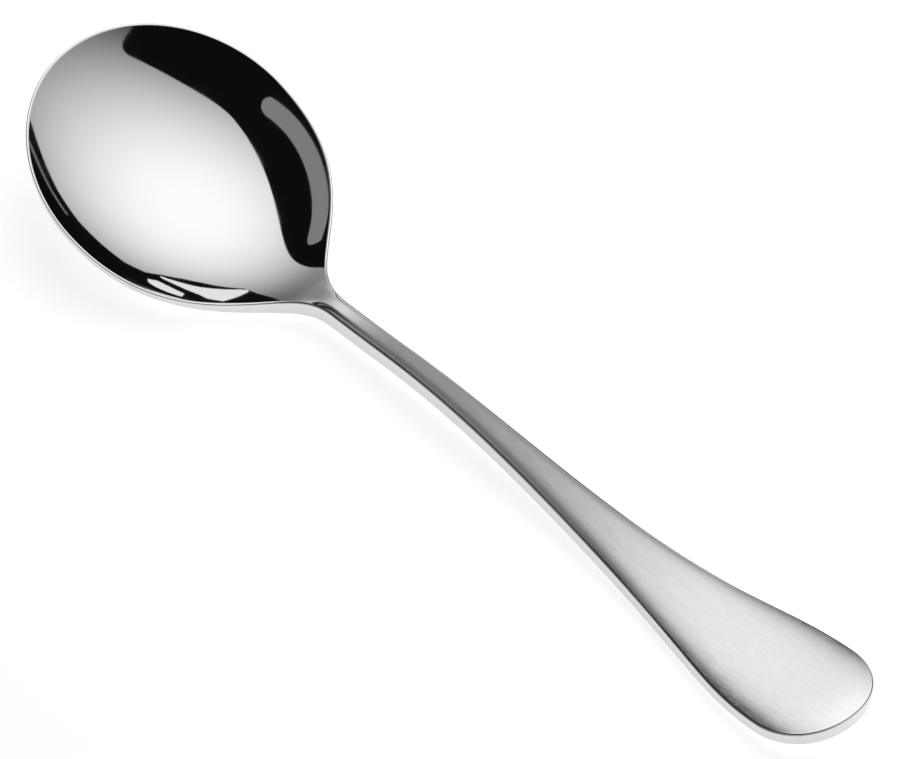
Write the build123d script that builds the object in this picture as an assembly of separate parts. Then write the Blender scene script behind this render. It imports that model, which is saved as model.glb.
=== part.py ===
from build123d import *
from build123d.topology import SkipClean
import os

import numpy as np
from scipy.interpolate import CubicSpline

# Soup spoon in stainless steel: a round-oval bowl, polished, and a satin handle with a pear-shaped grip.
# Millimetres. X runs from the tip of the bowl to the end of the handle, Y across and Z up, and the spoon
# lies as it rests on a table: on the back of the bowl and on the underside of the handle.

# Outline seen from above, measured from the tip of the bowl
spoon_length = 178.0
bowl_width = 46.9
bowl_widest_at = 24.6
neck_at = 62.4
neck_width = 4.0
grip_width = 21.6
grip_widest_from_end = 10.8

# Fullness of the outline's curves: the share of a stretch over which the curve keeps its first direction
nose_fullness = 0.567
brow_fullness = 0.533
flank_fullness = 0.64
throat_fullness = 0.357
stem_fullness = 0.805
hip_fullness = 0.192
end_fullness = 0.508
heel_fullness = 0.644

# The bowl's hollow: a dish with one radius along the spoon and another across it
deepest_from_tip = 38.6
dish_length_radius = 45.0
dish_cross_radius = 40.0
bowl_wall = 1.5

# Top of the handle seen from the side: the line comes down over the bowl, dips at the throat,
# rises to a crest, comes down to the table and turns up at the end
run_out_from_tip = 10.0
run_out_height = 24.0
throat_at = 57.0
throat_height = 6.1
crest_from_neck = 17.6
crest_height = 7.05
rest_from_end = 35.0
end_height = 6.7

# Sections of the handle: a crowned face over a slightly hollow back,
# so that the handle rests on its two edges
neck_thickness = 3.2
grip_thickness = 2.9
stem_crown_radius = 9.0
grip_crown_radius = 62.0
back_hollow = 0.25
rest_gap = 0.1

# Soft passage from the bowl into the handle, and the eased rim and edges, which leave most of the wall
throat_blend = 0.8
edge_ease = 0.45
most_ease_per_wall = 0.3

# Where the mirror polish of the bowl ends and the satin of the handle begins
finish_line_from_neck = 6.6

# The sheets that bound the metal above and below: how far they overlap the outline, their point spacing
# and how closely they keep to the points
sheet_margin = 4.0
sheet_step = 1.5
sheet_tolerance = 0.001

grip_widest_at = spoon_length - grip_widest_from_end
crest_at = neck_at + crest_from_neck
rest_at = spoon_length - rest_from_end
finish_line_at = neck_at + finish_line_from_neck


def ease(x, start, end):
    """Share from 0 to 1 that leaves the start and reaches the end without a kink."""
    share = np.clip((x - start) / (end - start), 0.0, 1.0)
    return share**3 * (share * (6.0 * share - 15.0) + 10.0)


def soft_lower(first, second):
    """The lower of two heights, with a soft passage where they cross."""
    return -throat_blend * np.logaddexp(-first / throat_blend, -second / throat_blend)


handle_line = CubicSpline(
    [run_out_from_tip, throat_at, crest_at, rest_at, spoon_length],
    [run_out_height, throat_height, crest_height, grip_thickness + rest_gap, end_height],
    bc_type="natural",
)


def dish(x, y):
    """Inside of the bowl, carried on past its rim."""
    along = (x - deepest_from_tip) ** 2 / (2.0 * dish_length_radius)
    across = y**2 / (2.0 * dish_cross_radius)
    return bowl_wall + along + across


def crown(x, y):
    """How far the handle's face falls from its middle line towards its edges."""
    stem_curvature = 1.0 / stem_crown_radius
    grip_curvature = 1.0 / grip_crown_radius
    curvature = stem_curvature * ease(x, throat_at, crest_at)
    curvature += (grip_curvature - stem_curvature) * ease(x, crest_at, rest_at)
    return curvature * y**2 / 2.0


def hollow(y):
    """How far the handle's back falls from its middle line towards its edges."""
    return back_hollow * (2.0 * y / grip_width) ** 2


def thickness(x):
    """Metal from top to underside: thin in the bowl, stout at the neck, flatter in the grip."""
    neck_gain = (neck_thickness - bowl_wall) * ease(x, deepest_from_tip, neck_at)
    grip_gain = (grip_thickness - neck_thickness) * ease(x, crest_at, rest_at)
    return bowl_wall + neck_gain + grip_gain


def top_height(x, y):
    return soft_lower(dish(x, y), handle_line(x) - crown(x, y))


def under_height(x, y):
    return soft_lower(dish(x, y), handle_line(x) - hollow(y)) - thickness(x)


def sheet(height, start, end, half_width):
    """A smooth surface at the given height over a rectangle around the spoon's middle line."""
    row_count = round((end - start) / sheet_step) + 1
    column_count = round(2.0 * half_width / sheet_step) + 1
    points = []
    for x in np.linspace(start, end, row_count):
        points.append([(x, y, height(x, y)) for y in np.linspace(-half_width, half_width, column_count)])
    return Face.make_surface_from_array_of_points(points, tol=sheet_tolerance, min_deg=3, max_deg=3)


def edge_curves():
    """The four curves of one edge of the outline, from the tip of the bowl to the end of the handle."""
    bowl = bowl_width / 2.0
    neck = neck_width / 2.0
    grip = grip_width / 2.0
    shoulder = neck_at - bowl_widest_at
    stem = grip_widest_at - neck_at
    nose_curve = [
        (0.0, 0.0),
        (0.0, bowl * nose_fullness),
        (bowl_widest_at * (1.0 - brow_fullness), bowl),
        (bowl_widest_at, bowl),
    ]
    shoulder_curve = [
        (bowl_widest_at, bowl),
        (bowl_widest_at + shoulder * flank_fullness, bowl),
        (neck_at - shoulder * throat_fullness, neck),
        (neck_at, neck),
    ]
    stem_curve = [
        (neck_at, neck),
        (neck_at + stem * stem_fullness, neck),
        (grip_widest_at - stem * hip_fullness, grip),
        (grip_widest_at, grip),
    ]
    end_curve = [
        (grip_widest_at, grip),
        (grip_widest_at + grip_widest_from_end * end_fullness, grip),
        (spoon_length, grip * heel_fullness),
        (spoon_length, 0.0),
    ]
    return [nose_curve, shoulder_curve, stem_curve, end_curve]


def outline():
    """The blank's outline seen from above."""
    near_edge = [Bezier(*curve) for curve in edge_curves()]
    far_edge = [mirror(curve, about=Plane.XZ).edge() for curve in near_edge]
    return Face(Wire(near_edge + far_edge, sequenced=True))


def above(surface):
    """Everything over a sheet."""
    return extrude(surface, amount=2.0 * spoon_length, dir=(0, 0, 1))


def on_the_rim(edge):
    """True for an edge that lies neither on the middle plane nor where bowl and handle meet."""
    middle = edge.center()
    return middle.Y > edge_ease and abs(middle.X - finish_line_at) > edge_ease


def stretch(start, end, width):
    """The metal of the spoon between two stations, with its rim and edges eased."""
    half_width = width / 2.0 + sheet_margin
    reach = (start - sheet_margin, end + sheet_margin, half_width)
    far_half = Pos((start + end) / 2.0, half_width / 2.0) * Rectangle(end - start, half_width)
    with SkipClean():
        plan = Pos(0.0, 0.0, -spoon_length / 2.0) * (outline() & far_half)
        column = extrude(plan, amount=spoon_length, clean=False)
        metal = (column & above(sheet(under_height, *reach))) - above(sheet(top_height, *reach))
        face_and_back = metal.faces().sort_by(SortBy.AREA)[-2:]
        rims = face_and_back.edges().filter_by(on_the_rim)
        half = metal.solid().chamfer(min(edge_ease, most_ease_per_wall * bowl_wall), None, rims)
        whole = half + mirror(half, about=Plane.XZ)
    return whole.solid()


bowl = stretch(0.0, finish_line_at, bowl_width)
handle = stretch(finish_line_at, spoon_length, grip_width)

# The origin is under the middle of the spoon, on the table
lowest = min(bowl.bounding_box().min.Z, handle.bounding_box().min.Z)
place = Pos(-spoon_length / 2.0, 0.0, -lowest)

os.makedirs("parts", exist_ok=True)
for name, piece in {"bowl": bowl, "handle": handle}.items():
    export_step(place * piece, f"parts/{name}.step")
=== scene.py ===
import math

import bpy
import numpy as np
from mathutils import Matrix, Vector


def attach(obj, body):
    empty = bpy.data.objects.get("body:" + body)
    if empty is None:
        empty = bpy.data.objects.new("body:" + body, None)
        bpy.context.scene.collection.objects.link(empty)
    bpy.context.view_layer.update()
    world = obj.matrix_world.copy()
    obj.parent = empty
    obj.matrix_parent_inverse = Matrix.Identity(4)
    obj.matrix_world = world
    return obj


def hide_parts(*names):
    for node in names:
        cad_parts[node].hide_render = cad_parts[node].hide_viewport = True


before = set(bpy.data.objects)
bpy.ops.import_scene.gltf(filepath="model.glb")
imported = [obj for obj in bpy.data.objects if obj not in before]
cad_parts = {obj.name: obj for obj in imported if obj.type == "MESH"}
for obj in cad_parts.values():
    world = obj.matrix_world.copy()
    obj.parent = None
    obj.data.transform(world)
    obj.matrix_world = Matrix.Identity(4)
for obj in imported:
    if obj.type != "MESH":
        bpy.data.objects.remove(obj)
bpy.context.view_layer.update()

# A soup spoon in stainless steel, lying on a white table: a mirror-polished bowl and a satin handle.
# Sizes are in millimetres from the tip of the bowl, as a toolmaker would dimension the blank and the die.

MM = 0.001

# The flat blank: outline seen from above
spoon_length = 178.0
bowl_width = 46.9
bowl_widest_at = 24.6
neck_at = 62.4
neck_width = 4.0
grip_width = 21.6
grip_widest_at = 167.2
finish_line_at = 69.0

# Fullness of the outline's curves: the share of a stretch over which the curve keeps its first direction
nose_fullness = 0.567
brow_fullness = 0.533
flank_fullness = 0.64
throat_fullness = 0.357
stem_fullness = 0.805
hip_fullness = 0.192
end_fullness = 0.508
heel_fullness = 0.644

# The die: hollow of the bowl, line of the handle seen from the side, and sections of the handle
deepest_at = 38.6
dish_length_radius = 45.0
dish_cross_radius = 40.0
bowl_wall = 1.5
run_out_at, run_out_height = 10.0, 24.0
throat_at, throat_height = 57.0, 6.1
crest_at, crest_height = 80.0, 7.05
rest_at, rest_height = 143.0, 3.0
end_height = 6.7
neck_thickness = 3.2
grip_thickness = 2.9
stem_crown_radius = 9.0
grip_crown_radius = 62.0
back_hollow = 0.25
throat_blend = 0.8

# The face of the handle is fuller by the lift in its middle, and rolls off towards its rounded edges
face_lift = 0.5
roll_off_power = 4.0
lift_from, lift_full = 56.0, 64.0
edge_round = 0.45

# How finely the blank is divided: rungs along each stretch of the outline, and rows from the middle line
# out to the rim. The last row of the face lies close to the rounding and holds the face's form up to there.
# The rungs at either end of the spoon fan out from a short run of the middle line.
nose_rungs, shoulder_rungs, neck_rungs, stem_rungs, end_rungs = 81, 81, 13, 121, 61
face_rows = 26
rounding_rows = 8
last_row_inside = 0.1
nose_fan_run = 9.0
end_fan_run = 2.0
halves_join_within = 0.0005
lookup_steps = 4001

# The polish, the change of finish at the neck, and how coarse the satin is there and at the end of the
# handle. The steel's grey is darkened at the neck as painted shade, fading out towards the end of the handle.
fade_from, fade_to = 54.0, 76.0
finer_from, finer_to = 84.0, 172.0
clear_roughness, hazy_roughness = 0.02, 0.05
polish_roughness = 0.035
neck_roughness = 0.66
end_roughness = 0.23
edge_roughness = 0.1
steel_grey = "#d8d8d8"
# Painted shade: the grey that the steel is darkened to at the neck
neck_shade_grey = "#b6b6b6"
haze_size = 7.0
haze_low, haze_high = 0.35, 0.7

# The satin's brush lines. The real ones are about 0.1 mm apart, drawn wider so that they show.
brush_line_length = 15.0
brush_line_spacing = 0.3
brush_low, brush_high = 0.3, 0.7
brush_unevenness = 0.05
groove_depth = 0.03
groove_strength = 0.25


def linear(hex_colour):
    """An sRGB hex colour as linear RGBA."""
    parts = [int(hex_colour[i : i + 2], 16) / 255.0 for i in (1, 3, 5)]
    return [c / 12.92 if c <= 0.04045 else ((c + 0.055) / 1.055) ** 2.4 for c in parts] + [1.0]


def add(tree, kind, links, **settings):
    """A node with its settings, its inputs linked to sockets or nodes or set to plain values."""
    node = tree.nodes.new(kind)
    for name, value in settings.items():
        setattr(node, name, value)
    for key, value in links.items():
        if isinstance(value, bpy.types.Node):
            value = value.outputs[0]
        if isinstance(value, bpy.types.NodeSocket):
            tree.links.new(value, node.inputs[key])
        else:
            node.inputs[key].default_value = value
    return node


# Finishes


def along_spoon(place_at):
    """A place along the spoon, in millimetres from the tip of the bowl, as metres along X."""
    return (place_at - spoon_length / 2.0) * MM


def bare_steel(name):
    """Bare stainless steel, and the place of a point on the piece."""
    material = bpy.data.materials.new(name)
    material.use_nodes = True
    tree = material.node_tree
    tree.nodes["Principled BSDF"].inputs["Metallic"].default_value = 1.0
    return material, add(tree, "ShaderNodeTexCoord", {}).outputs["Object"]


def finish_steel(tree, painted_shade, roughness):
    """Gives the steel its grey, darkened by painted shade towards the neck grey, and its roughness, with the
    rounded edges polished and free of the painted shade. Returns where they are.
    """
    steel = tree.nodes["Principled BSDF"]
    edge = add(tree, "ShaderNodeAttribute", {}, attribute_name="edge_polish").outputs["Fac"]
    # Painted shade darkens the grey towards the neck grey, but not on the polished edges
    painted_shade = add(tree, "ShaderNodeMix", {0: edge, 2: painted_shade, 3: 0.0}, data_type="FLOAT")
    roughness = add(tree, "ShaderNodeMix", {0: edge, 2: roughness, 3: edge_roughness}, data_type="FLOAT")
    grey = add(
        tree, "ShaderNodeMix", {0: painted_shade, 6: linear(steel_grey), 7: linear(neck_shade_grey)}, data_type="RGBA"
    )
    tree.links.new(grey.outputs[2], steel.inputs["Base Color"])
    tree.links.new(roughness.outputs[0], steel.inputs["Roughness"])
    return edge


def mirror_polished_steel():
    """Stainless steel buffed to a mirror: clear reflections, with a faint haze where the buff left it,
    going over to satin where the polish ends at the neck."""
    material, place = bare_steel("mirror-polished stainless steel")
    tree = material.node_tree
    x = add(tree, "ShaderNodeSeparateXYZ", {0: place})
    haze = add(
        tree, "ShaderNodeTexNoise", {"Vector": place, "Scale": 1.0 / (haze_size * MM), "Detail": 3.0}
    )
    buffed = add(
        tree,
        "ShaderNodeMapRange",
        {0: haze, 1: haze_low, 2: haze_high, 3: clear_roughness, 4: hazy_roughness},
    )
    over_neck = {0: x, 1: along_spoon(fade_from), 2: along_spoon(fade_to)}
    roughness = add(
        tree,
        "ShaderNodeMapRange",
        over_neck | {3: buffed, 4: neck_roughness},
        interpolation_type="SMOOTHSTEP",
    )
    # Painted shade: the grey darkens over the neck
    painted_shade = add(
        tree, "ShaderNodeMapRange", over_neck | {3: 0.0, 4: 1.0}, interpolation_type="SMOOTHSTEP"
    )
    finish_steel(tree, painted_shade, roughness)
    return material


def satin_steel():
    """Stainless steel brushed lengthwise to a satin: soft wide reflections with fine streaks along the
    handle, coarser at the neck with painted shade darkening it there, and closer to a sheen at the end."""
    material, place = bare_steel("satin-brushed stainless steel")
    tree = material.node_tree
    x = add(tree, "ShaderNodeSeparateXYZ", {0: place})
    per_length, per_spacing = 1.0 / (brush_line_length * MM), 1.0 / (brush_line_spacing * MM)
    stretch = add(
        tree, "ShaderNodeMapping", {"Vector": place, "Scale": (per_length, per_spacing, per_spacing)}
    )
    lines = add(
        tree, "ShaderNodeTexNoise", {"Vector": stretch, "Scale": 1.0, "Detail": 4.0, "Roughness": 0.6}
    )
    uneven = add(
        tree,
        "ShaderNodeMapRange",
        {0: lines, 1: brush_low, 2: brush_high, 3: -brush_unevenness, 4: brush_unevenness},
    )
    over_neck = {0: x, 1: along_spoon(fade_from), 2: along_spoon(fade_to)}
    over_handle = {0: x, 1: along_spoon(finer_from), 2: along_spoon(finer_to)}
    brushed = add(
        tree,
        "ShaderNodeMapRange",
        over_handle | {3: neck_roughness, 4: end_roughness},
        interpolation_type="SMOOTHSTEP",
    )
    brushed = add(tree, "ShaderNodeMath", {0: brushed, 1: uneven}, operation="ADD")
    roughness = add(
        tree,
        "ShaderNodeMapRange",
        over_neck | {3: polish_roughness, 4: brushed},
        interpolation_type="SMOOTHSTEP",
    )
    # Painted shade: darkest at the start of the handle, fading out along it to the end
    shade_along_handle = add(
        tree, "ShaderNodeMapRange", over_handle | {3: 1.0, 4: 0.0}, interpolation_type="SMOOTHSTEP"
    )
    painted_shade = add(
        tree, "ShaderNodeMapRange", over_neck | {3: 0.0, 4: shade_along_handle}, interpolation_type="SMOOTHSTEP"
    )
    edge = finish_steel(tree, painted_shade, roughness)
    past_finish_line = {0: x, 1: along_spoon(finish_line_at), 2: along_spoon(fade_to)}
    strength = add(tree, "ShaderNodeMapRange", past_finish_line | {3: 0.0, 4: groove_strength})
    strength = add(tree, "ShaderNodeMix", {0: edge, 2: strength, 3: 0.0}, data_type="FLOAT")
    grooves = add(
        tree, "ShaderNodeBump", {"Height": lines, "Strength": strength, "Distance": groove_depth * MM}
    )
    tree.links.new(grooves.outputs[0], tree.nodes["Principled BSDF"].inputs["Normal"])
    return material


# The blank


def curve_points(corners, shares):
    """Points of a cubic curve and its directions, at shares from 0 to 1 of its run."""
    a, b, c, d = np.array(corners, dtype=float)
    t = np.asarray(shares, dtype=float)[:, None]
    points = a * (1 - t) ** 3 + 3 * b * t * (1 - t) ** 2 + 3 * c * t**2 * (1 - t) + d * t**3
    along = 3 * (b - a) * (1 - t) ** 2 + 6 * (c - b) * t * (1 - t) + 3 * (d - c) * t**2
    return points, along / np.linalg.norm(along, axis=1)[:, None]


bowl_half, neck_half, grip_half = bowl_width / 2.0, neck_width / 2.0, grip_width / 2.0
shoulder_run = neck_at - bowl_widest_at
stem_run = grip_widest_at - neck_at
end_run = spoon_length - grip_widest_at
nose = [
    (0.0, 0.0),
    (0.0, bowl_half * nose_fullness),
    (bowl_widest_at * (1.0 - brow_fullness), bowl_half),
    (bowl_widest_at, bowl_half),
]
shoulder = [
    (bowl_widest_at, bowl_half),
    (bowl_widest_at + shoulder_run * flank_fullness, bowl_half),
    (neck_at - shoulder_run * throat_fullness, neck_half),
    (neck_at, neck_half),
]
stem = [
    (neck_at, neck_half),
    (neck_at + stem_run * stem_fullness, neck_half),
    (grip_widest_at - stem_run * hip_fullness, grip_half),
    (grip_widest_at, grip_half),
]
end = [
    (grip_widest_at, grip_half),
    (grip_widest_at + end_run * end_fullness, grip_half),
    (spoon_length, grip_half * heel_fullness),
    (spoon_length, 0.0),
]


def share_at(corners, x):
    """The share of a curve's run at which it reaches x."""
    shares = np.linspace(0.0, 1.0, lookup_steps)
    return float(np.interp(x, curve_points(corners, shares)[0][:, 0], shares))


def half_blank(name, runs, spine, capped):
    """Half of a flat blank as a mesh, rung by rung from the middle line to the rim, over the rounded edge
    and back underneath. Each point knows how far the edge's rounding drops it, its share of the way up the
    wall, its share of the way out to the rim and whether the edge's polish reaches it."""
    rim, inward = [], []
    for corners, shares in runs:
        points, along = curve_points(corners, shares)
        keep = slice(1 if rim else 0, None)
        rim.extend(points[keep])
        inward.extend(np.stack([along[:, 1], -along[:, 0]], axis=1)[keep])
    rim, inward = np.array(rim), np.array(inward)
    count = len(rim)
    middle = np.stack([spine, np.zeros(count)], axis=1)
    shoulder_line = rim + edge_round * inward
    face_width = np.linalg.norm(shoulder_line - middle, axis=1)

    # Rows of the face, each with its drop, its share out and its polish, then those of the rounding
    rows = []
    for step in np.linspace(0.0, 1.0, face_rows + 1)[:-1]:
        rows.append((middle + (shoulder_line - middle) * step, 0.0, np.full(count, step), 0.0))
    inside = np.minimum(last_row_inside, face_width / (2.0 * face_rows))
    rows.append((shoulder_line + inside[:, None] * inward, 0.0, 1.0 - inside / face_width, 0.0))
    for turn in np.linspace(0.0, math.pi / 2.0, rounding_rows):
        line = rim + edge_round * (1.0 - math.sin(turn)) * inward
        rows.append((line, edge_round * (1.0 - math.cos(turn)), np.ones(count), 1.0))
    shares_up = [1.0] * len(rows) + [0.5] + [0.0] * len(rows)
    rows = rows + [(rim, edge_round, np.ones(count), 1.0)] + rows[::-1]
    lines, drops, shares_out, polish = zip(*rows)

    points = np.concatenate([np.column_stack([line, np.zeros(count)]) for line in lines])
    faces = []
    for r in range(len(rows) - 1):
        for s in range(count - 1):
            a = r * count + s
            faces.append((a, a + 1, a + count + 1, a + count))
    if capped == "last":
        faces.append([r * count + count - 1 for r in range(len(rows))][::-1])
    else:
        faces.append([r * count for r in range(len(rows))])
    mesh = bpy.data.meshes.new(name)
    mesh.from_pydata(points.tolist(), [], faces)
    known_values = {
        "edge_drop": np.repeat(drops, count),
        "share_up": np.repeat(shares_up, count),
        "share_out": np.concatenate(shares_out),
        "edge_polish": np.repeat(polish, count),
    }
    for label, values in known_values.items():
        known = mesh.attributes.new(label, "FLOAT", "POINT")
        known.data.foreach_set("value", values.astype(np.float32))
    cap = mesh.attributes.new("cut_face", "BOOLEAN", "FACE")
    cap.data.foreach_set("value", [False] * (len(faces) - 1) + [True])
    piece = bpy.data.objects.new(name, mesh)
    bpy.context.scene.collection.objects.link(piece)
    return piece


# The press: a tree that gives the blank its form


def natural_line(knots):
    """Height and slope at the first knot and the change of bend at each, for a line that has no bend at its
    two ends."""
    x, z = np.array(knots).T
    run, rise = np.diff(x), np.diff(z)
    size = len(x)
    system, right = np.eye(size), np.zeros(size)
    for i in range(1, size - 1):
        system[i, i - 1 : i + 2] = run[i - 1], 2.0 * (run[i - 1] + run[i]), run[i]
        right[i] = 6.0 * (rise[i] / run[i] - rise[i - 1] / run[i - 1])
    bend = np.linalg.solve(system, right)
    slope = rise[0] / run[0] - run[0] * (2.0 * bend[0] + bend[1]) / 6.0
    cubic = np.diff(bend) / run / 6.0
    return z[0], slope, np.diff(cubic, prepend=0.0)


handle_line = [
    (run_out_at, run_out_height),
    (throat_at, throat_height),
    (crest_at, crest_height),
    (rest_at, rest_height),
    (spoon_length, end_height),
]
line_start, line_slope, line_bends = natural_line(handle_line)
sizes = {
    "Deepest At": deepest_at,
    "Dish Length Radius": dish_length_radius,
    "Dish Cross Radius": dish_cross_radius,
    "Bowl Wall": bowl_wall,
    "Neck At": neck_at,
    "Throat At": throat_at,
    "Crest At": crest_at,
    "Rest At": rest_at,
    "Neck Thickness": neck_thickness,
    "Grip Thickness": grip_thickness,
    "Stem Crown Curvature": 1.0 / stem_crown_radius,
    "Grip Crown Curvature": 1.0 / grip_crown_radius,
    "Back Hollow": back_hollow,
    "Grip Half Width": grip_half,
    "Throat Blend": throat_blend,
    "Lift From": lift_from,
    "Lift Full": lift_full,
    "Face Lift": face_lift,
    "Roll Off Power": roll_off_power,
    "Line Start": line_start,
    "Line Slope": line_slope,
}


def press_tree():
    """Presses a flat half blank into the dish and the handle, mirrors it and lays it on the table, in
    metres."""
    tree = bpy.data.node_groups.new("press", "GeometryNodeTree")
    tree.is_modifier = True
    tree.interface.new_socket("Blank", in_out="INPUT", socket_type="NodeSocketGeometry")
    for name in sizes:
        tree.interface.new_socket(name, in_out="INPUT", socket_type="NodeSocketFloat")
    tree.interface.new_socket("Finish", in_out="INPUT", socket_type="NodeSocketMaterial")
    tree.interface.new_socket("Pressed", in_out="OUTPUT", socket_type="NodeSocketGeometry")
    given = tree.nodes.new("NodeGroupInput").outputs
    point = add(tree, "ShaderNodeSeparateXYZ", {0: add(tree, "GeometryNodeInputPosition", {})})
    x, y = point.outputs["X"], point.outputs["Y"]
    across = add(tree, "ShaderNodeMath", {0: y, 1: y}, operation="MULTIPLY")

    # Hollow of the bowl
    off_deepest = add(tree, "ShaderNodeMath", {0: x, 1: given["Deepest At"]}, operation="SUBTRACT")
    along = add(tree, "ShaderNodeMath", {0: off_deepest, 1: off_deepest}, operation="MULTIPLY")
    rise_along = add(tree, "ShaderNodeMath", {0: along, 1: given["Dish Length Radius"]}, operation="DIVIDE")
    rise_across = add(tree, "ShaderNodeMath", {0: across, 1: given["Dish Cross Radius"]}, operation="DIVIDE")
    rise = add(tree, "ShaderNodeMath", {0: rise_along, 1: rise_across}, operation="ADD")
    dish = add(tree, "ShaderNodeMath", {0: rise, 1: 0.5, 2: given["Bowl Wall"]}, operation="MULTIPLY_ADD")

    # Line of the handle seen from the side, bent at each knot
    run = add(tree, "ShaderNodeMath", {0: x, 1: run_out_at}, operation="SUBTRACT")
    line = add(
        tree,
        "ShaderNodeMath",
        {0: run, 1: given["Line Slope"], 2: given["Line Start"]},
        operation="MULTIPLY_ADD",
    )
    for (knot_at, _), bend in zip(handle_line, line_bends):
        past = add(tree, "ShaderNodeMath", {0: x, 1: knot_at}, operation="SUBTRACT")
        past = add(tree, "ShaderNodeMath", {0: past, 1: 0.0}, operation="MAXIMUM")
        cube = add(tree, "ShaderNodeMath", {0: past, 1: 3.0}, operation="POWER")
        line = add(tree, "ShaderNodeMath", {0: cube, 1: float(bend), 2: line}, operation="MULTIPLY_ADD")

    # Crowned face, hollow back and thickness
    to_crest = {0: x, 1: given["Throat At"], 2: given["Crest At"]}
    to_rest = {0: x, 1: given["Crest At"], 2: given["Rest At"]}
    to_neck = {0: x, 1: given["Deepest At"], 2: given["Neck At"]}
    stem_crown = add(
        tree,
        "ShaderNodeMapRange",
        to_crest | {3: 0.0, 4: given["Stem Crown Curvature"]},
        interpolation_type="SMOOTHERSTEP",
    )
    crown = add(
        tree,
        "ShaderNodeMapRange",
        to_rest | {3: stem_crown, 4: given["Grip Crown Curvature"]},
        interpolation_type="SMOOTHERSTEP",
    )
    half_square = add(tree, "ShaderNodeMath", {0: across, 1: 0.5}, operation="MULTIPLY")
    crown_fall = add(tree, "ShaderNodeMath", {0: half_square, 1: crown}, operation="MULTIPLY")
    off_middle = add(tree, "ShaderNodeMath", {0: y, 1: given["Grip Half Width"]}, operation="DIVIDE")
    off_square = add(tree, "ShaderNodeMath", {0: off_middle, 1: off_middle}, operation="MULTIPLY")
    back_fall = add(tree, "ShaderNodeMath", {0: off_square, 1: given["Back Hollow"]}, operation="MULTIPLY")
    neck_wall = add(
        tree,
        "ShaderNodeMapRange",
        to_neck | {3: given["Bowl Wall"], 4: given["Neck Thickness"]},
        interpolation_type="SMOOTHERSTEP",
    )
    thickness = add(
        tree,
        "ShaderNodeMapRange",
        to_rest | {3: neck_wall, 4: given["Grip Thickness"]},
        interpolation_type="SMOOTHERSTEP",
    )

    # Face and back: the lower of dish and handle, with a soft passage at the throat
    sides = []
    for fall in (crown_fall, back_fall):
        stem_height = add(tree, "ShaderNodeMath", {0: line, 1: fall}, operation="SUBTRACT")
        lower = add(tree, "ShaderNodeMath", {0: dish, 1: stem_height}, operation="MINIMUM")
        apart = add(tree, "ShaderNodeMath", {0: dish, 1: stem_height}, operation="SUBTRACT")
        apart = add(tree, "ShaderNodeMath", {0: apart}, operation="ABSOLUTE")
        apart = add(tree, "ShaderNodeMath", {0: apart, 1: given["Throat Blend"]}, operation="DIVIDE")
        apart = add(tree, "ShaderNodeMath", {0: apart, 1: -1.0}, operation="MULTIPLY")
        near = add(tree, "ShaderNodeMath", {0: apart}, operation="EXPONENT")
        near = add(tree, "ShaderNodeMath", {0: near, 1: 1.0}, operation="ADD")
        near = add(tree, "ShaderNodeMath", {0: near, 1: math.e}, operation="LOGARITHM")
        passage = add(tree, "ShaderNodeMath", {0: near, 1: given["Throat Blend"]}, operation="MULTIPLY")
        sides.append(add(tree, "ShaderNodeMath", {0: lower, 1: passage}, operation="SUBTRACT"))
    face, back = sides
    back = add(tree, "ShaderNodeMath", {0: back, 1: thickness}, operation="SUBTRACT")

    # The fuller face of the handle
    lift = add(
        tree,
        "ShaderNodeMapRange",
        {0: x, 1: given["Lift From"], 2: given["Lift Full"], 3: 0.0, 4: given["Face Lift"]},
        interpolation_type="SMOOTHERSTEP",
    )
    out = add(tree, "GeometryNodeInputNamedAttribute", {"Name": "share_out"}, data_type="FLOAT")
    roll_off = add(tree, "ShaderNodeMath", {0: out, 1: given["Roll Off Power"]}, operation="POWER")
    inside = add(tree, "ShaderNodeMath", {0: 1.0, 1: roll_off}, operation="SUBTRACT")
    face = add(tree, "ShaderNodeMath", {0: lift, 1: inside, 2: face}, operation="MULTIPLY_ADD")

    # Rounded edges
    drop = add(tree, "GeometryNodeInputNamedAttribute", {"Name": "edge_drop"}, data_type="FLOAT")
    share = add(tree, "GeometryNodeInputNamedAttribute", {"Name": "share_up"}, data_type="FLOAT")
    face = add(tree, "ShaderNodeMath", {0: face, 1: drop}, operation="SUBTRACT")
    back = add(tree, "ShaderNodeMath", {0: back, 1: drop}, operation="ADD")
    height = add(tree, "ShaderNodeMix", {0: share, 2: back, 3: face}, data_type="FLOAT")
    place = add(tree, "ShaderNodeCombineXYZ", {0: x, 1: y, 2: height})

    # Both halves, in metres, with the origin under the middle of the spoon
    half = add(tree, "GeometryNodeSetPosition", {"Geometry": given["Blank"], "Position": place})
    other = add(tree, "GeometryNodeTransform", {"Geometry": half, "Scale": (1.0, -1.0, 1.0)})
    other = add(tree, "GeometryNodeFlipFaces", {"Mesh": other})
    both = add(tree, "GeometryNodeJoinGeometry", {"Geometry": half})
    tree.links.new(other.outputs[0], both.inputs[0])
    whole = add(
        tree, "GeometryNodeMergeByDistance", {"Geometry": both, "Distance": halves_join_within}
    )
    laid = add(
        tree,
        "GeometryNodeTransform",
        {"Geometry": whole, "Translation": (along_spoon(0.0), 0.0, 0.0), "Scale": (MM, MM, MM)},
    )

    # Smooth all over, with a crisp line round the flat face where bowl and handle meet
    cut = add(tree, "GeometryNodeInputNamedAttribute", {"Name": "cut_face"}, data_type="BOOLEAN")
    curved = add(tree, "FunctionNodeBooleanMath", {0: cut}, operation="NOT")
    smooth = add(tree, "GeometryNodeSetShadeSmooth", {"Geometry": laid, "Shade Smooth": curved})
    crisp = add(
        tree,
        "GeometryNodeSetShadeSmooth",
        {"Geometry": smooth, "Selection": cut, "Shade Smooth": False},
        domain="EDGE",
    )
    solid = add(tree, "GeometryNodeRealizeInstances", {"Geometry": crisp})
    finished = add(tree, "GeometryNodeSetMaterial", {"Geometry": solid, "Material": given["Finish"]})
    add(tree, "NodeGroupOutput", {"Pressed": finished})
    return tree


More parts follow.
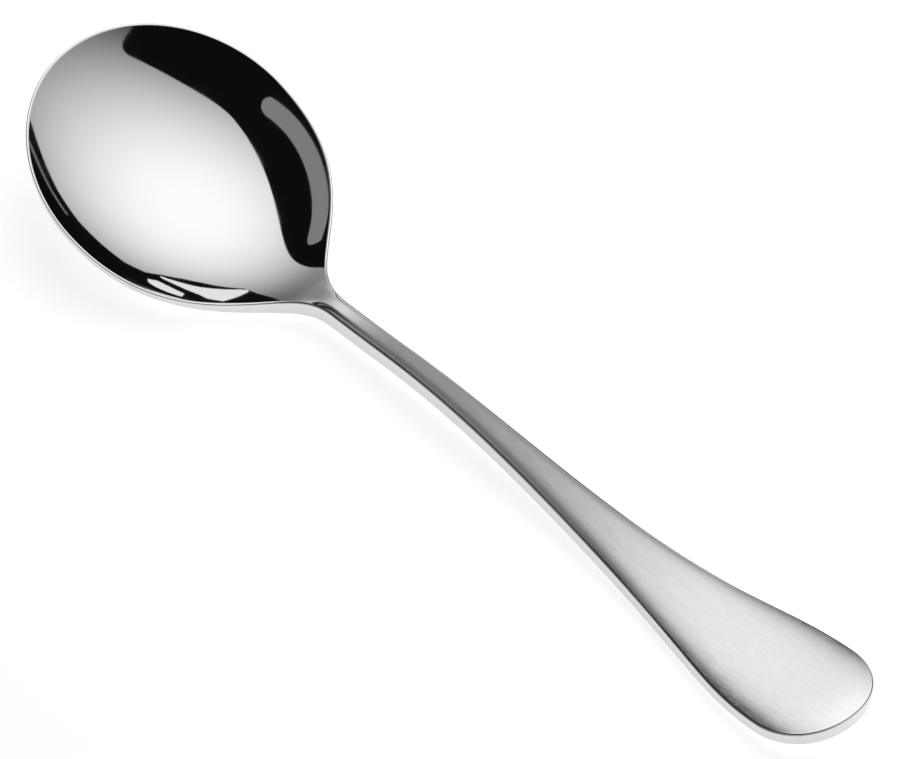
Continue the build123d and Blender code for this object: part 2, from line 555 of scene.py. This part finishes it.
def pressed(piece, tree, finish):
    """The pressed piece as a plain mesh in place of its blank."""
    modifier = piece.modifiers.new("press", "NODES")
    modifier.node_group = tree
    for socket in tree.interface.items_tree:
        if socket.in_out == "INPUT" and socket.name in sizes:
            modifier[socket.identifier] = float(sizes[socket.name])
        elif socket.name == "Finish":
            modifier[socket.identifier] = finish
    seen = piece.evaluated_get(bpy.context.evaluated_depsgraph_get())
    mesh = bpy.data.meshes.new_from_object(seen)
    piece.modifiers.remove(modifier)
    blank, piece.data = piece.data, mesh
    bpy.data.meshes.remove(blank)
    for name in ("edge_drop", "share_up", "share_out", "cut_face"):
        mesh.attributes.remove(mesh.attributes[name])
    return piece


# Rungs of each stretch, and where each starts on the middle line
cut_share = share_at(stem, finish_line_at)
nose_shares = np.linspace(0.0, 1.0, nose_rungs)
shoulder_shares = np.linspace(0.0, 1.0, shoulder_rungs)
neck_shares = np.linspace(0.0, cut_share, neck_rungs)
stem_shares = np.linspace(cut_share, 1.0, stem_rungs)
end_shares = np.linspace(0.0, 1.0, end_rungs)
bowl_spine = np.concatenate(
    [
        bowl_widest_at - nose_fan_run * (1.0 - nose_shares),
        curve_points(shoulder, shoulder_shares)[0][1:, 0],
        curve_points(stem, neck_shares)[0][1:, 0],
    ]
)
handle_spine = np.concatenate(
    [
        curve_points(stem, stem_shares)[0][:, 0],
        grip_widest_at + end_fan_run * end_shares[1:],
    ]
)
# The last two rungs at either end of the spoon start from one point, so that no face there is folded flat
bowl_spine[0] = bowl_spine[1]
handle_spine[-1] = handle_spine[-2]

press = press_tree()
bowl_runs = [(nose, nose_shares), (shoulder, shoulder_shares), (stem, neck_shares)]
handle_runs = [(stem, stem_shares), (end, end_shares)]
bowl_blank = half_blank("bowl_skin", bowl_runs, bowl_spine, "last")
handle_blank = half_blank("handle_skin", handle_runs, handle_spine, "first")
bowl = pressed(bowl_blank, press, mirror_polished_steel())
handle = pressed(handle_blank, press, satin_steel())
for piece, node, finish in ((bowl, "bowl", "polished_steel"), (handle, "handle", "satin_steel")):
    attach(piece, "root")
    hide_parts(node)


# The studio: a white table under a tent that is black behind the spoon and pale elsewhere, a large round
# soft light above and behind the spoon, a black card over its front with a pale strip under it, and a
# black card behind it with a seam and two panes. The metal mirrors all of it, and the camera sees only the
# table. Places are slopes from the bowl: metres aside, or up, for each metre of distance.

bowl_middle_at, bowl_middle_height = deepest_at - 10.0, 5.0
bowl_middle = Vector((along_spoon(bowl_middle_at), 0.0, bowl_middle_height * MM))
light_from = Vector((-0.136, 0.476, 0.869)).normalized()
light_distance = 0.7
light_radius = 1.65 * light_distance
light_even_to = 0.05 * light_radius
light_spokes = 96
light_level = 1.42
tent_radius, tent_rings, tent_spokes = 1.6, 12, 48
tent_black_towards = Vector((-0.460, 0.443, 0.770)).normalized()
tent_black_from = math.cos(math.radians(54.0))
tent_pale_from = math.cos(math.radians(88.0))
tent_black_level = 0.0116
tent_pale_level = 0.5
card_black = "#101010"
front_card_height = 0.25
front_card_back = -0.8
front_card_steps = 25
strip_height = 0.24
strip_grey = "#919191"
strip_half_width, strip_widening = 0.048, 0.020
strip_start_rounding = 0.04
strip_end_rounding = {1.0: 0.05, -1.0: 0.22}
strip_steps = 61
back_card_distance = 0.5
back_card_foot = -0.009
pane_distance = 0.48
pane_level = 1.1
seam_width = 0.012
seam_grey = "#7c7c7c"
table_half = 4.0
table_white = "#f6f6f6"
table_roughness = 0.9
table_raise = 0.61


def studio_piece(name, form, shader, place=Matrix.Identity(4)):
    """A sheet of the studio, in metres, that the metal and the table see and the camera doesn't."""
    points, faces = form
    mesh = bpy.data.meshes.new(name)
    mesh.from_pydata([Vector(p) for p in points], [], faces)
    mesh.materials.append(shader)
    sheet = bpy.data.objects.new(name, mesh)
    sheet.matrix_world = Matrix.Translation(bowl_middle) @ place
    bpy.context.scene.collection.objects.link(sheet)
    sheet.visible_camera = False


def glowing(name, hex_colour, level=1.0):
    """A sheet of even brightness."""
    material = bpy.data.materials.new(name)
    material.use_nodes = True
    tree = material.node_tree
    tree.nodes.remove(tree.nodes["Principled BSDF"])
    even = add(tree, "ShaderNodeEmission", {"Color": linear(hex_colour), "Strength": level})
    tree.links.new(even.outputs[0], tree.nodes["Material Output"].inputs["Surface"])
    return material


def soft_light():
    """A white diffuser, brightest in its middle and fading to nothing at its edge."""
    material = glowing("soft light", "#ffffff")
    tree = material.node_tree
    place = add(tree, "ShaderNodeTexCoord", {})
    out = add(tree, "ShaderNodeVectorMath", {0: place.outputs["Object"]}, operation="LENGTH")
    fade = add(
        tree,
        "ShaderNodeMapRange",
        {0: out.outputs["Value"], 1: light_even_to, 2: light_radius, 3: light_level, 4: 0.0},
        interpolation_type="SMOOTHSTEP",
    )
    tree.links.new(fade.outputs[0], tree.nodes["Emission"].inputs["Strength"])
    return material


def tent_cloth():
    """Cloth that is black behind the spoon, where its face mirrors it to the camera, and pale all round
    the rest."""
    material = glowing("tent cloth", "#ffffff")
    tree = material.node_tree
    place = add(tree, "ShaderNodeTexCoord", {})
    towards = add(tree, "ShaderNodeVectorMath", {0: place.outputs["Object"]}, operation="NORMALIZE")
    facing = add(tree, "ShaderNodeVectorMath", {0: towards, 1: tent_black_towards}, operation="DOT_PRODUCT")
    from_black = {0: facing.outputs["Value"], 1: tent_black_from, 2: tent_pale_from}
    fade = add(
        tree,
        "ShaderNodeMapRange",
        from_black | {3: tent_black_level, 4: tent_pale_level},
        interpolation_type="SMOOTHSTEP",
    )
    tree.links.new(fade.outputs[0], tree.nodes["Emission"].inputs["Strength"])
    return material


def white_table():
    """White board, lit by the soft light and raised to white where the camera or the metal sees it."""
    material = bpy.data.materials.new("white table")
    material.use_nodes = True
    tree = material.node_tree
    board = tree.nodes["Principled BSDF"]
    board.inputs["Base Color"].default_value = linear(table_white)
    board.inputs["Roughness"].default_value = table_roughness
    board.inputs["Specular IOR Level"].default_value = 0.0
    board.inputs["Emission Color"].default_value = linear("#ffffff")
    path = add(tree, "ShaderNodeLightPath", {}).outputs
    seen = path["Is Camera Ray"]
    for other_ray in (path["Is Glossy Ray"], path["Is Transmission Ray"]):
        seen = add(tree, "ShaderNodeMath", {0: seen, 1: other_ray}, operation="MAXIMUM")
    raised = add(tree, "ShaderNodeMath", {0: seen, 1: table_raise}, operation="MULTIPLY")
    tree.links.new(raised.outputs[0], board.inputs["Emission Strength"])
    return material


def disc(radius, spokes):
    """Points and faces of a round sheet about the origin."""
    turns = np.linspace(0.0, 2.0 * math.pi, spokes, endpoint=False)
    return [(radius * math.cos(t), radius * math.sin(t), 0.0) for t in turns], [list(range(spokes))]


def tent(radius, rings, spokes):
    """Points and faces of a half sphere standing on the table."""
    points, faces = [(0.0, 0.0, radius)], []
    for ring in range(1, rings + 1):
        slant = 0.5 * math.pi * ring / rings
        for spoke in range(spokes):
            turn = 2.0 * math.pi * spoke / spokes
            out = radius * math.sin(slant)
            points.append((out * math.cos(turn), out * math.sin(turn), radius * math.cos(slant)))
    for spoke in range(spokes):
        after = (spoke + 1) % spokes
        faces.append((0, 1 + after, 1 + spoke))
        for ring in range(rings - 1):
            first = 1 + ring * spokes
            faces.append((first + spoke, first + after, first + spokes + after, first + spokes + spoke))
    return points, faces


def band(first, second):
    """Points and faces of a sheet between two lines of as many points."""
    count = len(first)
    points = [tuple(point) for point in np.concatenate([first, second])]
    return points, [(i, i + 1, count + i + 1, count + i) for i in range(count - 1)]


def overhead(slopes, height):
    """Points of a level line at a height above the bowl."""
    return height * np.column_stack([slopes, np.ones(len(slopes))])


def upright(slopes, distance):
    """Points of a line at a distance behind the bowl."""
    aside, up = np.array(slopes).T
    return distance * np.column_stack([aside, np.ones(len(slopes)), up])


studio_piece("dark_tent", tent(tent_radius, tent_rings, tent_spokes), tent_cloth())
light_turn = light_from.to_track_quat("Z", "Y").to_matrix().to_4x4()
light_place = Matrix.Translation(light_from * light_distance) @ light_turn
studio_piece("soft_light", disc(light_radius, light_spokes), soft_light(), light_place)

# The front card points a blunt corner at the camera, and its two ends are round
steps = np.linspace(0.0, 1.0, front_card_steps)
card_edge = np.concatenate(
    [
        curve_points(corners, steps)[0]
        for corners in (
            [(0.765, 0.00), (0.78, 0.18), (0.77, 0.30), (0.68, 0.215)],
            [(0.68, 0.215), (0.536, 0.055), (0.27, -0.133), (0.11, -0.133)],
            [(0.11, -0.133), (-0.40, -0.133), (-0.839, 0.545), (-1.636, 0.703)],
            [(-1.636, 0.703), (-1.85, 0.74), (-1.95, 0.55), (-1.95, 0.20)],
        )
    ]
)
card_back = np.column_stack([card_edge[:, 0], np.full(len(card_edge), front_card_back)])
front_card = band(overhead(card_edge, front_card_height), overhead(card_back, front_card_height))
studio_piece("front_card", front_card, glowing("black card", card_black))

# The pale strip hangs just under the front card, with round ends
steps = 0.5 - 0.5 * np.cos(np.linspace(0.0, math.pi, strip_steps))
strip_line = [(0.043, -0.313), (-0.44, -0.48), (-0.97, 0.12), (-1.168, 0.329)]
middle, along = curve_points(strip_line, steps)
aside = np.stack([-along[:, 1], along[:, 0]], axis=1)
edges = []
for side, end_rounding in strip_end_rounding.items():
    from_ends = np.minimum(steps / strip_start_rounding, (1.0 - steps) / end_rounding)
    narrowing = np.clip(1.0 - from_ends, 0.0, 1.0)
    half_width = (strip_half_width + strip_widening * steps) * np.sqrt(1.0 - narrowing**2)
    edges.append(overhead(middle + side * half_width[:, None] * aside, strip_height))
studio_piece("pale_strip", band(*edges), glowing("pale strip", strip_grey))

# The back card stands on the table, lower in its middle, with a pale seam near its top and two panes
card_top = [
    (0.60, 0.61),
    (0.40, 0.525),
    (0.19, 0.45),
    (0.03, 0.392),
    (-0.12, 0.35),
    (-0.24, 0.333),
    (-0.37, 0.32),
    (-0.46, 0.345),
    (-0.52, 0.415),
    (-0.625, 0.49),
    (-0.735, 0.535),
    (-0.89, 0.57),
    (-1.10, 0.62),
    (-1.22, 0.55),
    (-1.50, 0.45),
    (-1.75, 0.42),
]
card_foot = [(aside_slope, back_card_foot) for aside_slope, _ in card_top]
back_card = band(upright(card_top, back_card_distance), upright(card_foot, back_card_distance))
studio_piece("back_card", back_card, glowing("black back card", card_black))
seam_top = np.array([(0.33, 0.462), (0.19, 0.418), (0.03, 0.362), (-0.10, 0.322)])
seam = band(upright(seam_top, pane_distance), upright(seam_top - (0.0, seam_width), pane_distance))
studio_piece("seam", seam, glowing("pale seam", seam_grey))

# Each pane, point by point: the slopes aside and up of its upper edge, then those of its lower edge
panes = {
    "small_pane": [
        (-0.500, 0.285, -0.520, 0.250),
        (-0.535, 0.318, -0.560, 0.236),
        (-0.600, 0.312, -0.620, 0.232),
        (-0.690, 0.290, -0.690, 0.240),
    ],
    "long_pane": [
        (-0.52, 0.391, -0.53, 0.375),
        (-0.60, 0.416, -0.60, 0.370),
        (-0.75, 0.460, -0.76, 0.344),
        (-0.85, 0.503, -0.82, 0.316),
        (-0.95, 0.543, -0.92, 0.330),
        (-1.05, 0.585, -1.02, 0.435),
        (-1.13, 0.605, -1.13, 0.565),
    ],
}
for name, slopes in panes.items():
    upper, lower = np.array(slopes)[:, :2], np.array(slopes)[:, 2:]
    pane = band(upright(upper, pane_distance), upright(lower, pane_distance))
    studio_piece(name, pane, glowing("pane", "#ffffff", pane_level))

board = bpy.data.meshes.new("table")
corners = [(-1, -1), (1, -1), (1, 1), (-1, 1)]
board.from_pydata([(table_half * x, table_half * y, 0.0) for x, y in corners], [], [(0, 1, 2, 3)])
board.materials.append(white_table())
table = bpy.data.objects.new("table", board)
bpy.context.scene.collection.objects.link(table)

room = bpy.data.worlds.new("white room")
bpy.context.scene.world = room
room.use_nodes = True
room.node_tree.nodes["Background"].inputs["Color"].default_value = linear("#ffffff")
room.node_tree.nodes["Background"].inputs["Strength"].default_value = 1.0


# The camera, at the photograph's angle, for a frame of 900 by 759 pixels

azimuth, elevation = math.radians(46.0377), math.radians(50.3406)
distance = 2.07613
look_at = Vector((-7.126, 5.829, 0.0)) * MM
level_back = Vector((math.sin(azimuth), -math.cos(azimuth), 0.0))
back = level_back * math.cos(elevation) + Vector((0.0, 0.0, math.sin(elevation)))
right = Vector((math.cos(azimuth), math.sin(azimuth), 0.0))
up = back.cross(right)
lens = bpy.data.cameras.new("camera")
lens.sensor_fit = "HORIZONTAL"
lens.sensor_width = 36.0
lens.lens = 521.862
lens.clip_end = 20.0
camera = bpy.data.objects.new("camera", lens)
camera_turn = Matrix((right, up, back)).transposed().to_4x4()
camera.matrix_world = Matrix.Translation(look_at + back * distance) @ camera_turn
bpy.context.scene.collection.objects.link(camera)
bpy.context.scene.camera = camera

bpy.context.scene.view_settings.view_transform = "Standard"
